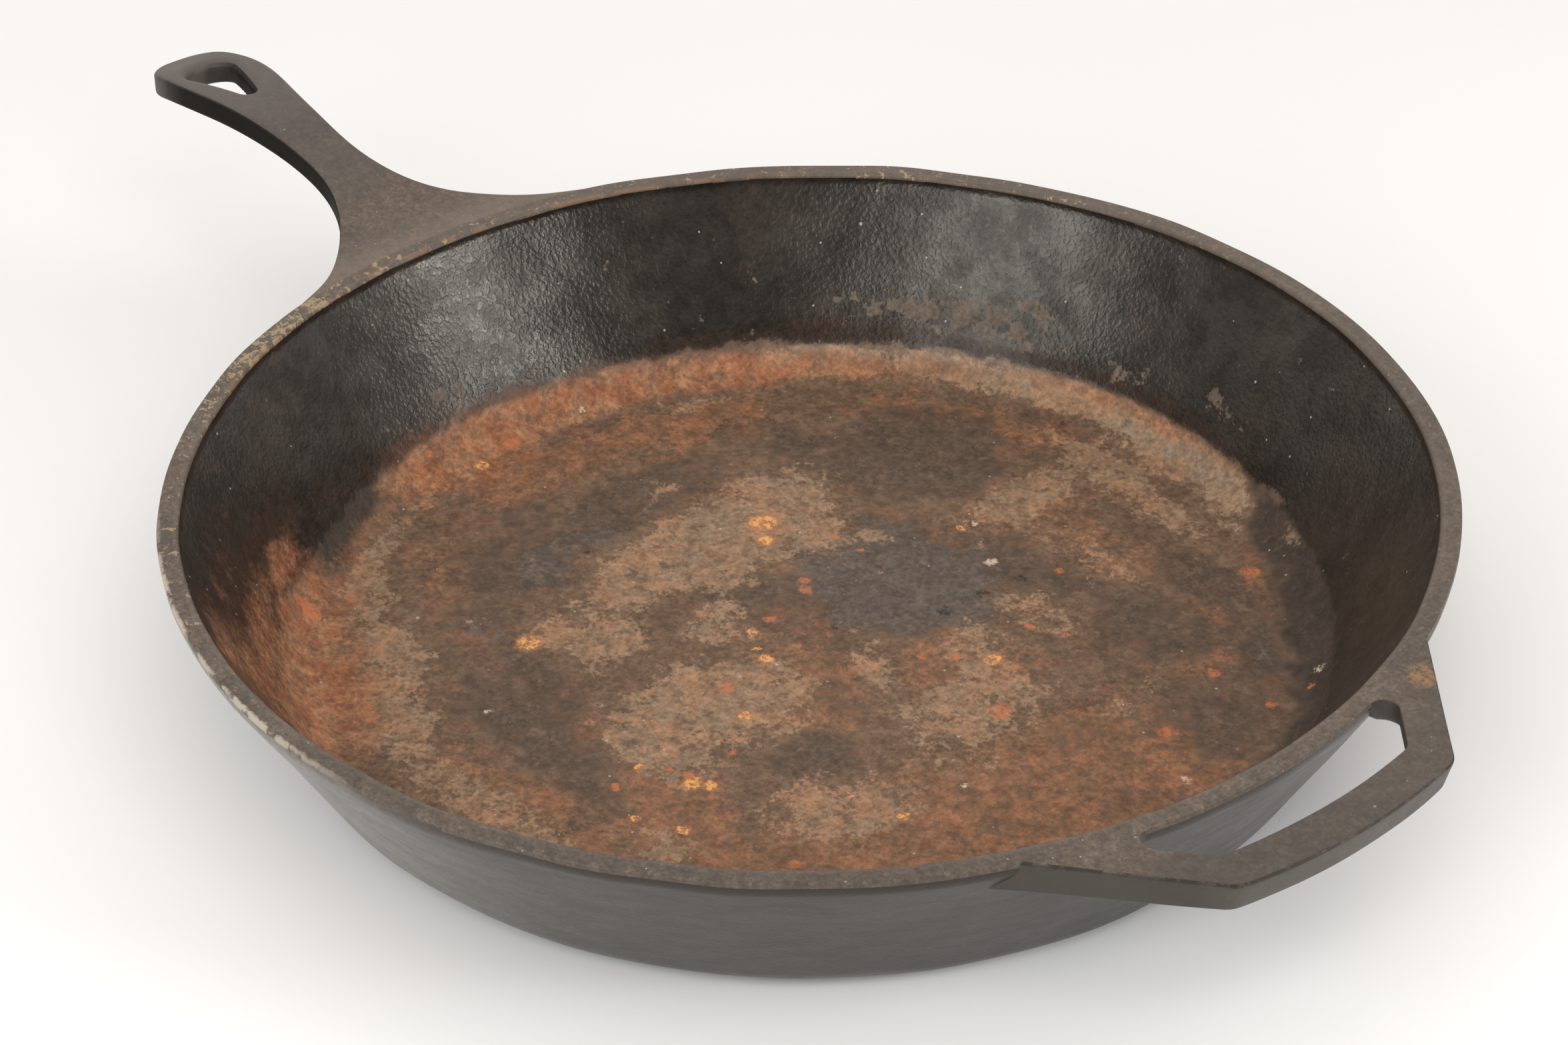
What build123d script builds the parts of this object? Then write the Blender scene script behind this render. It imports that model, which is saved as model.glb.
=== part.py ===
from build123d import *
import math
import os

# Large cast iron skillet, millimetres.
# The origin is the centre of the base's underside, +Z is up, and the helper handle is on +X.
# The skillet is one casting. It is written here as five zones that meet face to face:
# cooking floor, side wall, rim, main handle (towards -X) and helper handle (towards +X).

# ---- bowl ----------------------------------------------------------------------------------
RIM_RADIUS = 160.0
PAN_HEIGHT = 54.0
RIM_TOP_WIDTH = 5.3
RIM_BAND_HEIGHT = 3.1
RIM_LIP_HEIGHT = 2.5
WALL_SLOPE = 30.0
FLOOR_THICKNESS = 5.0
BASE_CORNER_RADIUS = 14.0
FLOOR_CORNER_RADIUS = 14.0
BAND_BLEND_RADIUS = 6.0
LIP_BLEND_RADIUS = 4.0
RIM_OUTER_EDGE_RADIUS = 0.5
RIM_INNER_EDGE_RADIUS = 1.2
RIM_ZONE_HEIGHT = 7.0
FLOOR_ZONE_HEIGHT = 14.0

# ---- main handle ---------------------------------------------------------------------------
HANDLE_THICKNESS = 7.4
HANDLE_RISE_START = 172.0
HANDLE_TIP = 289.2
HANDLE_ROOT = 147.0
HANDLE_TOP_EDGE = 1.2
HANDLE_BOTTOM_EDGE = 1.7
# Half width of the handle at distances measured outwards from the pan's axis.
HANDLE_HALF_WIDTHS = [
    (151.0, 52.2),
    (160.0, 35.3),
    (176.0, 19.8),
    (192.0, 10.8),
    (210.0, 7.9),
    (225.0, 8.5),
    (240.0, 10.2),
    (255.0, 12.3),
    (267.0, 13.1),
    (277.5, 12.6),
    (284.8, 10.5),
    (288.3, 6.2),
    (HANDLE_TIP, 0.0),
]
# Height of the handle's top above the rim at such distances: it rises, then droops to the tip.
HANDLE_RISES = [
    (192.0, 2.8),
    (208.0, 5.8),
    (224.0, 8.4),
    (240.0, 9.8),
    (255.0, 9.8),
    (270.0, 8.3),
    (HANDLE_TIP, 4.2),
]
HANDLE_END_SLOPE = 0.24
# Direction in which each flank leaves the rim, close to the rim's own tangent.
FLANK_START = (-0.5, -1.0)

# ---- hanging eye in the main handle ----------------------------------------------------------
EYE_RADIUS = 7.0
EYE_CENTRE = 269.8
EYE_POINT = 242.6
EYE_POINT_RADIUS = 2.0
EYE_TOP_EDGE = 3.2
EYE_BOTTOM_EDGE = 1.3

# ---- helper handle ---------------------------------------------------------------------------
HELPER_THICKNESS = 8.4
HELPER_REACH = 187.1
HELPER_CORNER = (183.5, 34.0)
HELPER_JOIN = (148.4, 62.6)
HELPER_ROOT = 142.0
HELPER_CORNER_RADIUS = 6.0
HELPER_OUTER_DRAFT = 2.4
HELPER_EAR_DRAFT = 0.2
HELPER_TOP_EDGE = 0.8
HELPER_BOTTOM_EDGE = 0.6
HELPER_BAR_WIDTH = 11.5
OPENING_CORNER = (172.8, 29.8)
OPENING_CORNER_RADIUS = 3.6
OPENING_END_RADIUS = 3.6
OPENING_TOP_EDGE = 0.6
OPENING_BOTTOM_EDGE = 5.6

# ---- selection limits ------------------------------------------------------------------------
LEVEL_FACE = 0.7
SAME_RADIUS = 0.001

# ---- worked out from the driving dimensions --------------------------------------------------
wall_lean = math.tan(math.radians(WALL_SLOPE))
band_foot = PAN_HEIGHT - RIM_BAND_HEIGHT
base_corner = RIM_RADIUS - band_foot * wall_lean
rim_inner_radius = RIM_RADIUS - RIM_TOP_WIDTH
lip_foot = PAN_HEIGHT - RIM_LIP_HEIGHT
floor_corner = rim_inner_radius - (lip_foot - FLOOR_THICKNESS) * wall_lean
rim_zone_foot = PAN_HEIGHT - RIM_ZONE_HEIGHT
zone_reach = RIM_RADIUS + RIM_TOP_WIDTH

os.makedirs("parts", exist_ok=True)


def round_corner(place, radius):
    """Round the corner of the sketch being built that lies at place."""
    fillet(vertices().sort_by_distance(Vector(*place))[0], radius)


def outline_edges(upward):
    """Curved edges around the top (upward = 1) or the underside (upward = -1) of a handle."""
    level_faces = faces().filter_by(lambda face: face.normal_at().Z * upward > LEVEL_FACE)
    return level_faces.edges()


# ---- bowl section ----------------------------------------------------------------------------
with BuildSketch(Plane.XZ) as bowl_section:
    with BuildLine():
        Polyline(
            (0, 0),
            (base_corner, 0),
            (RIM_RADIUS, band_foot),
            (RIM_RADIUS, PAN_HEIGHT),
            (rim_inner_radius, PAN_HEIGHT),
            (rim_inner_radius, lip_foot),
            (floor_corner, FLOOR_THICKNESS),
            (0, FLOOR_THICKNESS),
            close=True,
        )
    make_face()
    round_corner((base_corner, 0), BASE_CORNER_RADIUS)
    round_corner((RIM_RADIUS, band_foot), BAND_BLEND_RADIUS)
    round_corner((RIM_RADIUS, PAN_HEIGHT), RIM_OUTER_EDGE_RADIUS)
    round_corner((rim_inner_radius, PAN_HEIGHT), RIM_INNER_EDGE_RADIUS)
    round_corner((rim_inner_radius, lip_foot), LIP_BLEND_RADIUS)
    round_corner((floor_corner, FLOOR_THICKNESS), FLOOR_CORNER_RADIUS)


def bowl_slice(low, high):
    """The part of the bowl's half section that lies between two heights."""
    with BuildSketch(Plane.XZ) as piece:
        add(bowl_section.sketch_local)
        with Locations((zone_reach / 2, (low + high) / 2)):
            Rectangle(zone_reach, high - low, mode=Mode.INTERSECT)
    return piece.sketch


# ---- cooking floor, with its rounded corner ----------------------------------------------------
with BuildPart() as cooking_floor:
    revolve(bowl_slice(0.0, FLOOR_ZONE_HEIGHT), axis=Axis.Z)
cooking_floor.part.label = "cooking_floor"
export_step(cooking_floor.part, "parts/cooking_floor.step")

# ---- side wall -----------------------------------------------------------------------------------
with BuildPart() as side_wall:
    revolve(bowl_slice(FLOOR_ZONE_HEIGHT, rim_zone_foot), axis=Axis.Z)
side_wall.part.label = "side_wall"
export_step(side_wall.part, "parts/side_wall.step")

# ---- rim -----------------------------------------------------------------------------------------
with BuildPart() as rim:
    revolve(bowl_slice(rim_zone_foot, PAN_HEIGHT), axis=Axis.Z)
rim.part.label = "rim"
export_step(rim.part, "parts/rim.step")

# ---- the bowl filled to its brim, which trims the handles where they meet it ----------------------
with BuildPart() as bowl_envelope:
    with BuildSketch(Plane.XZ):
        add(bowl_section.sketch_local)
        with BuildLine():
            Polyline(
                (0, 0),
                (base_corner - BASE_CORNER_RADIUS, 0),
                (rim_inner_radius + RIM_TOP_WIDTH / 2, band_foot),
                (rim_inner_radius + RIM_TOP_WIDTH / 2, PAN_HEIGHT),
                (0, PAN_HEIGHT),
                close=True,
            )
        make_face()
    revolve(axis=Axis.Z)

# ---- main handle -----------------------------------------------------------------------------------
flank = [(-distance, half) for distance, half in HANDLE_HALF_WIDTHS]
root_half_width = flank[0][1]
climb_points = [(-distance, PAN_HEIGHT + rise) for distance, rise in HANDLE_RISES]
eye_middle = PAN_HEIGHT + max(rise for _, rise in HANDLE_RISES) - HANDLE_THICKNESS / 2
below = Location((0, -HANDLE_THICKNESS))

with BuildPart() as main_handle:
    # Plan: a flared root, a narrow neck and a rounded end.
    with BuildSketch(Plane.XY.offset(PAN_HEIGHT - 2 * HANDLE_THICKNESS)):
        with BuildLine():
            Polyline((-HANDLE_ROOT, 0), (-HANDLE_ROOT, root_half_width), flank[0])
            Spline(*flank, tangents=[FLANK_START, (0, -1)])
            mirror(about=Plane.XZ)
        make_face()
    extrude(amount=4 * HANDLE_THICKNESS)
    # Side view: level at the rim, rising, then drooping towards the end.
    with BuildSketch(Plane.XZ.offset(-root_half_width)):
        with BuildLine():
            level = Line((0, PAN_HEIGHT), (-HANDLE_RISE_START, PAN_HEIGHT))
            climb = Spline(level @ 1, *climb_points, tangents=[(-1, 0), (-1, -HANDLE_END_SLOPE)])
            add([level.moved(below), climb.moved(below)])
            Line(climb @ 1, climb @ 1 - (0, HANDLE_THICKNESS))
            Line(level @ 0, level @ 0 - (0, HANDLE_THICKNESS))
        make_face()
    extrude(amount=2 * root_half_width, mode=Mode.INTERSECT)
    fillet(outline_edges(1).filter_by(GeomType.LINE, reverse=True), HANDLE_TOP_EDGE)
    fillet(outline_edges(-1).filter_by(GeomType.LINE, reverse=True), HANDLE_BOTTOM_EDGE)
    # Hanging eye: a circle drawn out to a point towards the pan.
    touch = math.acos(EYE_RADIUS / (EYE_CENTRE - EYE_POINT))
    touch_along = EYE_RADIUS * math.cos(touch) - EYE_CENTRE
    touch_across = EYE_RADIUS * math.sin(touch)
    with BuildSketch(Plane.XY.offset(PAN_HEIGHT - 2 * HANDLE_THICKNESS)):
        with BuildLine():
            Polyline((touch_along, -touch_across), (-EYE_POINT, 0), (touch_along, touch_across))
            ThreePointArc(
                (touch_along, touch_across),
                (-EYE_CENTRE - EYE_RADIUS, 0),
                (touch_along, -touch_across),
            )
        make_face()
        round_corner((-EYE_POINT, 0), EYE_POINT_RADIUS)
    extrude(amount=4 * HANDLE_THICKNESS, mode=Mode.SUBTRACT)
    eye_edges = edges(Select.LAST).filter_by(GeomType.LINE, reverse=True)
    fillet(eye_edges.filter_by(lambda edge: edge.center().Z > eye_middle), EYE_TOP_EDGE)
    fillet(eye_edges.filter_by(lambda edge: edge.center().Z < eye_middle), EYE_BOTTOM_EDGE)
    add(bowl_envelope.part, mode=Mode.SUBTRACT)
main_handle.part.label = "main_handle"
export_step(main_handle.part, "parts/main_handle.step")


# ---- helper handle ---------------------------------------------------------------------------------
def helper_plan(height, outer_draft, ear_draft):
    """Plan of the helper handle at a height: two straight ears and a bowed outer bar."""
    corner = (HELPER_CORNER[0] - outer_draft, HELPER_CORNER[1] - ear_draft)
    join = (HELPER_JOIN[0], HELPER_JOIN[1] - ear_draft)
    with BuildSketch(Plane.XY.offset(height)) as plan:
        with BuildLine():
            Polyline((HELPER_ROOT, 0), (HELPER_ROOT, join[1]), join, corner)
            mirror(about=Plane.XZ)
            ThreePointArc(corner, (HELPER_REACH - outer_draft, 0), (corner[0], -corner[1]))
        make_face()
        round_corner(corner, HELPER_CORNER_RADIUS)
        round_corner((corner[0], -corner[1]), HELPER_CORNER_RADIUS)
    return plan.sketch


ear_run = Vector(*HELPER_JOIN) - Vector(*HELPER_CORNER)
helper_foot = PAN_HEIGHT - HELPER_THICKNESS

with BuildPart() as helper_handle:
    loft([helper_plan(PAN_HEIGHT, 0, 0), helper_plan(helper_foot, HELPER_OUTER_DRAFT, HELPER_EAR_DRAFT)])
    fillet(outline_edges(1).filter_by_position(Axis.X, HELPER_JOIN[0], HELPER_REACH), HELPER_TOP_EDGE)
    fillet(outline_edges(-1).filter_by_position(Axis.X, HELPER_JOIN[0], HELPER_REACH), HELPER_BOTTOM_EDGE)
    # The opening: its ends run beside the ears, and its inner side is the rim itself.
    with BuildSketch(Plane.XY.offset(helper_foot)):
        with BuildLine():
            corner = Vector(*OPENING_CORNER)
            Polyline((0, 0), corner + ear_run, corner)
            mirror(about=Plane.XZ)
            ThreePointArc(corner, (HELPER_REACH - HELPER_BAR_WIDTH, 0), (corner.X, -corner.Y))
        make_face()
        Circle(RIM_RADIUS, mode=Mode.SUBTRACT)
        fillet(vertices().group_by(Axis.X)[-1], OPENING_CORNER_RADIUS)
        fillet(vertices().group_by(Axis.X)[0], OPENING_END_RADIUS)
        rim_side = edges().filter_by(GeomType.CIRCLE)
        rim_side = rim_side.filter_by(lambda edge: abs(edge.radius - RIM_RADIUS) < SAME_RADIUS)[0]
        with BuildLine():
            add(rim_side)
            Polyline(rim_side @ 0, (0, 0), rim_side @ 1)
        make_face()
    extrude(amount=HELPER_THICKNESS, mode=Mode.SUBTRACT)
    opening_edges = edges(Select.LAST).filter_by_position(Axis.X, RIM_RADIUS, HELPER_REACH)
    level_edges = opening_edges.filter_by(lambda edge: abs(edge.tangent_at(0.5).Z) < SAME_RADIUS)
    fillet(level_edges.group_by(Axis.Z)[-1], OPENING_TOP_EDGE)
    fillet(level_edges.group_by(Axis.Z)[0], OPENING_BOTTOM_EDGE)
    add(bowl_envelope.part, mode=Mode.SUBTRACT)
helper_handle.part.label = "helper_handle"
export_step(helper_handle.part, "parts/helper_handle.step")
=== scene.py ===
import math

import bmesh
import bpy
import numpy as np
from mathutils import Matrix, Vector
from mathutils.geometry import delaunay_2d_cdt


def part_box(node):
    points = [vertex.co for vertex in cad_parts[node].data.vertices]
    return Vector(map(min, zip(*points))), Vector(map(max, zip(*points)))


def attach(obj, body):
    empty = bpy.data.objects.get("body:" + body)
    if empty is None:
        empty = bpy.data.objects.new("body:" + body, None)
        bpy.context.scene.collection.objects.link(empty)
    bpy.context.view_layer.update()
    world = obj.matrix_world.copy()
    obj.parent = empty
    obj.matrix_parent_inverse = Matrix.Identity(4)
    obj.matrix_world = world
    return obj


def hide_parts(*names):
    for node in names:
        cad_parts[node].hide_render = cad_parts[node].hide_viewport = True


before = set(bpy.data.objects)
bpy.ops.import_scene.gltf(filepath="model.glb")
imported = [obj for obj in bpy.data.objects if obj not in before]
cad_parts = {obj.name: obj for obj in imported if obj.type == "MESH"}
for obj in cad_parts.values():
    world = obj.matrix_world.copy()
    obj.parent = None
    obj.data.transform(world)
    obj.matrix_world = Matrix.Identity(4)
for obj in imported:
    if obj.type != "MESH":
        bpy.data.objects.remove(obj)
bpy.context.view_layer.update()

# Shapes are written in millimetres and turned into metres when each mesh is made.
MM = 0.001

# ---- sizes of the casting --------------------------------------------------------------------
RIM_RADIUS = 160.0
PAN_HEIGHT = round(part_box("rim")[1].z / MM, 1)
RIM_TOP_WIDTH = 5.3
BAND_FOOT = PAN_HEIGHT - 3.1
LIP_FOOT = PAN_HEIGHT - 2.5
WALL_LEAN = math.tan(math.radians(30))
FLOOR_TOP = 5.0
CORNER_RADIUS = 14.0
ABOVE_CORNER = 20.0
BAND_BLEND_RADIUS = 6.0
LIP_BLEND_RADIUS = 4.0
OUTER_EDGE_RADIUS = 0.5
INNER_EDGE_RADIUS = 1.2
FLOOR_ZONE_TOP = round(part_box("cooking_floor")[1].z / MM, 1)
WALL_ZONE_TOP = round(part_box("side_wall")[1].z / MM, 1)
RIM_INNER = RIM_RADIUS - RIM_TOP_WIDTH
BASE_CORNER = RIM_RADIUS - BAND_FOOT * WALL_LEAN
FLOOR_CORNER = RIM_INNER - (LIP_FOOT - FLOOR_TOP) * WALL_LEAN

THICKNESS = 7.4
TIP = 289.2
# the main handle's outline: (distance from the pan's axis, half width)
FLANK = [
    (151.0, 52.2), (160.0, 35.3), (176.0, 19.8), (192.0, 10.8), (210.0, 7.9), (225.0, 8.5),
    (240.0, 10.2), (255.0, 12.3), (267.0, 13.1), (277.5, 12.6), (284.8, 10.5), (288.3, 6.2),
    (TIP, 0.0),
]
FLANK_START = (0.5, -1.0)
ROOT_END = 146.5
ROOT_CORNER_RADIUS = 2.0
# and how far its top face rises above the rim: (distance from the pan's axis, rise)
CLIMB = [
    (172.0, 0.0), (192.0, 2.8), (208.0, 5.8), (224.0, 8.4), (240.0, 9.8), (255.0, 9.8),
    (270.0, 8.3), (TIP, 4.2),
]
END_SLOPE = 0.24
HANDLE_EDGES = (1.2, 1.7)
EYE_RADIUS = 7.0
EYE_CENTRE = 269.8
EYE_POINT = 242.6
EYE_POINT_RADIUS = 2.0
EYE_POINT_CENTRE = EYE_POINT + EYE_POINT_RADIUS * (EYE_CENTRE - EYE_POINT) / EYE_RADIUS
EYE_EDGES = (3.2, 1.3)

HELPER_THICKNESS = 8.4
HELPER_JOIN = (148.4, 62.6)
HELPER_CORNER = (183.5, 34.0)
HELPER_REACH = 187.1
HELPER_CORNER_RADIUS = 6.0
EAR_OVERLAP = 0.25
HELPER_DRAFT = (2.4, 0.2)
HELPER_EDGES = (0.8, 0.6)
OPENING_CORNER = (172.8, 29.8)
OPENING_REACH = 175.6
OPENING_CORNER_RADIUS = 3.6
OPENING_END_RADIUS = 3.6
OPENING_EDGES = (0.6, 5.6)

# ---- mesh fineness ---------------------------------------------------------------------------
AROUND = 480
RIM_AROUND = 960
STEP = 2.2
CAP_STEP = 1.9
CAP_CLEARANCE = 0.6 * CAP_STEP
CAP_TOLERANCE = 1e-5
RIM_STEP = 0.9
ARC_STEPS = 5
SIDE_STEPS = 3
# radii and heights closer than these count as on the axis and as equal
ON_AXIS = 0.15
SAME_LEVEL = 0.015
# radii below which a ring of the bowl has half as many points, so that faces stay regular
THINNING = (52.0, 26.0, 13.0, 6.5)
CAP_INSET = 0.5
# points on half an outline: first finely, to move and trim it, and then as they're meshed
HANDLE_FINE_COUNT, HELPER_FINE_COUNT, FINE_COUNT = 1200, 900, 600
SIDE_COUNT, ROOT_COUNT = 150, 56
EAR_COUNT, END_COUNT, OPENING_COUNT = 64, 16, 56
EYE_ROUND_COUNT, EYE_POINT_COUNT, EYE_SIDE_COUNT = 36, 16, 12
BOW_COUNT, OPENING_ARC_COUNT = 60, 14
OPENING_CLEARANCE = 0.05
# which point of the curve after a rounded corner its arc is aimed at
FLANK_AIM, BOW_AIM = 20, 12

# ---- light -----------------------------------------------------------------------------------
# Strength of the world beyond the pan, on the camera's side, and added towards the top.
WORLD_FAR, WORLD_NEAR, WORLD_TOP = 0.93, 0.30, 0.36
# and where those changes start and end: share towards the camera, and share upwards
WORLD_AROUND, WORLD_ABOVE = (-0.7, 0.6), (0.35, 0.95)
WORLD_COLOUR = (1.0, 0.95, 0.912, 1)
SHINE_TINT = (1.0, 0.89, 0.79, 1.0)
COOL, WARM = (0.92, 0.975, 1.0), (1.0, 0.93, 0.88)
LAMP_DISTANCE = 1.7
# Soft lamps: name, direction from the pan, size in metres, power, colour, whether iron mirrors it.
# Two make the broad reflections in the far wall, and the last only fills the shadows in front.
LAMPS = [
    ("right light", (0.796, 0.478, 0.375), 0.45, 9.8, COOL, True),
    ("left light", (0.147, -0.880, 0.450), 1.1, 16.5, COOL, True),
    ("front light", (0.640, -0.280, 0.715), 1.2, 13.0, WARM, False),
]

# ---- camera and stage ------------------------------------------------------------------------
CAMERA_TURN, CAMERA_DOWN = math.radians(50.4), math.radians(33.07)
CAMERA_DISTANCE = 6.083 * RIM_RADIUS * MM
CAMERA_YAW, CAMERA_PITCH, CAMERA_ROLL = 0.006391, -0.011956, 0.014254
LENS, SENSOR = 90.31, 36.0
STAGE_HALF, STAGE_LEVEL = 9, -0.0006

rng = np.random.default_rng(11)


# ---- flat curves -----------------------------------------------------------------------------
def arc_corner(before, corner, after, radius, steps):
    """Points of the arc that rounds a corner."""
    before, corner, after = (np.array(p, float) for p in (before, corner, after))
    back = (before - corner) / np.linalg.norm(before - corner)
    ahead = (after - corner) / np.linalg.norm(after - corner)
    half = math.acos(float(np.clip(back @ ahead, -1, 1))) / 2
    middle = corner + (back + ahead) / np.linalg.norm(back + ahead) * radius / math.sin(half)
    start = corner + back * radius / math.tan(half) - middle
    end = corner + ahead * radius / math.tan(half) - middle
    sweep = math.pi - 2 * half
    share = np.linspace(0, 1, steps + 1)[:, None]
    blend = np.sin((1 - share) * sweep) * start + np.sin(share * sweep) * end
    return middle + blend / math.sin(sweep)


def rounded_line(corners, radii, steps=8):
    """An open line through corners, each inner corner rounded by its radius."""
    points = [np.array([corners[0]], float)]
    for i in range(1, len(corners) - 1):
        points.append(arc_corner(corners[i - 1], corners[i], corners[i + 1], radii[i - 1], steps))
    points.append(np.array([corners[-1]], float))
    return np.concatenate(points)


def circle(centre, radius, turn):
    """Points of a circle at the given turns."""
    return np.stack([centre[0] + radius * np.cos(turn), centre[1] + radius * np.sin(turn)], 1)


def lengths(points):
    """How far along an open line each of its points lies."""
    return np.r_[0.0, np.cumsum(np.linalg.norm(np.diff(points, axis=0), axis=1))]


def spread(points, count):
    """count points, evenly spaced along an open line."""
    along = lengths(points)
    wanted = np.linspace(0, along[-1], count)
    return np.stack([np.interp(wanted, along, points[:, k]) for k in range(points.shape[1])], 1)


def split_long(points, step):
    """The same open line with its long runs cut into pieces of about step."""
    out = [points[:1]]
    for a, b in zip(points[:-1], points[1:]):
        pieces = max(1, round(float(np.linalg.norm(b - a)) / step))
        out.append(a + (b - a) * (np.arange(1, pieces + 1) / pieces)[:, None])
    return np.concatenate(out)


def smooth_curve(knots, start, end, step):
    """A cubic spline through knots that leaves and arrives in the given directions."""
    knots = np.array(knots, float)
    t = lengths(knots)
    gap = np.diff(t)
    count = len(t)
    system = np.zeros((count, count))
    right = np.zeros((count, 2))
    slope = np.diff(knots, axis=0) / gap[:, None]
    start = np.array(start, float) / np.linalg.norm(start)
    end = np.array(end, float) / np.linalg.norm(end)
    system[0, :2] = 2 * gap[0], gap[0]
    right[0] = 6 * (slope[0] - start)
    system[-1, -2:] = gap[-1], 2 * gap[-1]
    right[-1] = 6 * (end - slope[-1])
    for i in range(1, count - 1):
        system[i, i - 1:i + 2] = gap[i - 1], 2 * (gap[i - 1] + gap[i]), gap[i]
        right[i] = 6 * (slope[i] - slope[i - 1])
    bend = np.linalg.solve(system, right)
    at = np.linspace(0, t[-1], int(t[-1] / step) + 1)
    i = np.clip(np.searchsorted(t, at, side="right") - 1, 0, count - 2)
    a = ((t[i + 1] - at) / gap[i])[:, None]
    b = 1 - a
    g = gap[i][:, None]
    straight = a * knots[i] + b * knots[i + 1]
    return straight + ((a**3 - a) * bend[i] + (b**3 - b) * bend[i + 1]) * g**2 / 6


def normals_of(points, closed=False):
    """Unit normals, to the left of the direction of travel."""
    if closed:
        along = np.roll(points, -1, 0) - np.roll(points, 1, 0)
    else:
        along = np.gradient(points, axis=0)
    along /= np.linalg.norm(along, axis=1)[:, None]
    return np.stack([-along[:, 1], along[:, 0]], 1)


def inside(points, loop):
    """Which points lie inside a closed loop."""
    a, b = loop, np.roll(loop, -1, 0)
    x, y = points[:, :1], points[:, 1:]
    crosses = (a[:, 1] > y) != (b[:, 1] > y)
    rise = np.where(b[:, 1] == a[:, 1], 1.0, b[:, 1] - a[:, 1])
    reach = a[:, 0] + (y - a[:, 1]) / rise * (b[:, 0] - a[:, 0])
    return np.sum(crosses & (x < reach), axis=1) % 2 == 1


# ---- the casting's gentle unevenness ---------------------------------------------------------
WAVES = 26
WAVE_LENGTHS = (24, 90)
WAVE_HEIGHT = 0.035
wave_length = rng.uniform(*WAVE_LENGTHS, (3, WAVES))
wave_way = rng.normal(size=(3, WAVES, 3))
wave_way /= np.linalg.norm(wave_way, axis=2)[:, :, None]
wave_start = rng.uniform(0, math.tau, (3, WAVES))


def settle(points):
    """Moves points by a smooth field of about 0.1 mm. All pieces share it, so joints stay shut."""
    moved = points.copy()
    for k in range(3):
        phase = points @ (wave_way[k] * math.tau / wave_length[k][:, None]).T + wave_start[k]
        moved[:, k] += WAVE_HEIGHT * np.sin(phase).sum(1)
    return moved


def make_piece(name, node, points, faces, looks, look_of=None, creases=(), paint=None):
    """Makes one closed mesh that stands for a CAD node."""
    mesh = bpy.data.meshes.new(name)
    mesh.from_pydata((settle(points) * MM).tolist(), [], faces)
    shape = bmesh.new()
    shape.from_mesh(mesh)
    bmesh.ops.recalc_face_normals(shape, faces=shape.faces)
    shape.verts.ensure_lookup_table()
    for crease in creases:
        for a, b in zip(crease, crease[1:] + crease[:1]):
            edge = shape.edges.get((shape.verts[a], shape.verts[b]))
            if edge is not None:
                edge.smooth = False
    for face in shape.faces:
        face.smooth = True
    open_edges = sum(1 for e in shape.edges if len(e.link_faces) != 2)
    if open_edges:
        raise RuntimeError(f"{name} has {open_edges} edges that aren't shared by two faces")
    shape.to_mesh(mesh)
    shape.free()
    if paint is not None:
        paint(mesh, points)
    for look in looks:
        mesh.materials.append(look)
    if look_of is not None:
        chosen = [look_of(face.center / MM, face.normal) for face in mesh.polygons]
        mesh.polygons.foreach_set("material_index", chosen)
    piece = bpy.data.objects.new(name, mesh)
    bpy.context.scene.collection.objects.link(piece)
    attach(piece, "root")
    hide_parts(node)
    return piece


# ---- bowl ------------------------------------------------------------------------------------
# (radius, height) from the base's middle up to the rim's top, and from there down to the floor's
rim_top = (RIM_RADIUS - 2, PAN_HEIGHT)
outer_line = rounded_line(
    [(0, 0), (BASE_CORNER, 0), (RIM_RADIUS, BAND_FOOT), (RIM_RADIUS, PAN_HEIGHT), rim_top],
    [CORNER_RADIUS, BAND_BLEND_RADIUS, OUTER_EDGE_RADIUS],
)
inner_line = rounded_line(
    [
        rim_top, (RIM_INNER, PAN_HEIGHT), (RIM_INNER, LIP_FOOT),
        (FLOOR_CORNER, FLOOR_TOP), (0, FLOOR_TOP),
    ],
    [INNER_EDGE_RADIUS, LIP_BLEND_RADIUS, CORNER_RADIUS],
)


def cut_between(line, low, high):
    """The part of a line of (radius, height) whose heights lie between low and high."""
    heights = line[:, 1]
    out = []
    for i in range(len(line)):
        if low <= heights[i] <= high:
            out.append(line[i])
        if i + 1 < len(line):
            for level in sorted((low, high), reverse=bool(heights[i + 1] < heights[i])):
                if (heights[i] - level) * (heights[i + 1] - level) < 0:
                    share = (level - heights[i]) / (heights[i + 1] - heights[i])
                    out.append(line[i] + share * (line[i + 1] - line[i]))
    return np.array(out)


def ring_count(radius, full):
    """How many points a ring has."""
    for limit in THINNING:
        if radius > limit:
            return full
        full //= 2
    return full


def ring_faces(above, below):
    """The faces between two closed rings of as many points."""
    n = len(above)
    return [(above[k], above[(k + 1) % n], below[(k + 1) % n], below[k]) for k in range(n)]


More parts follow.
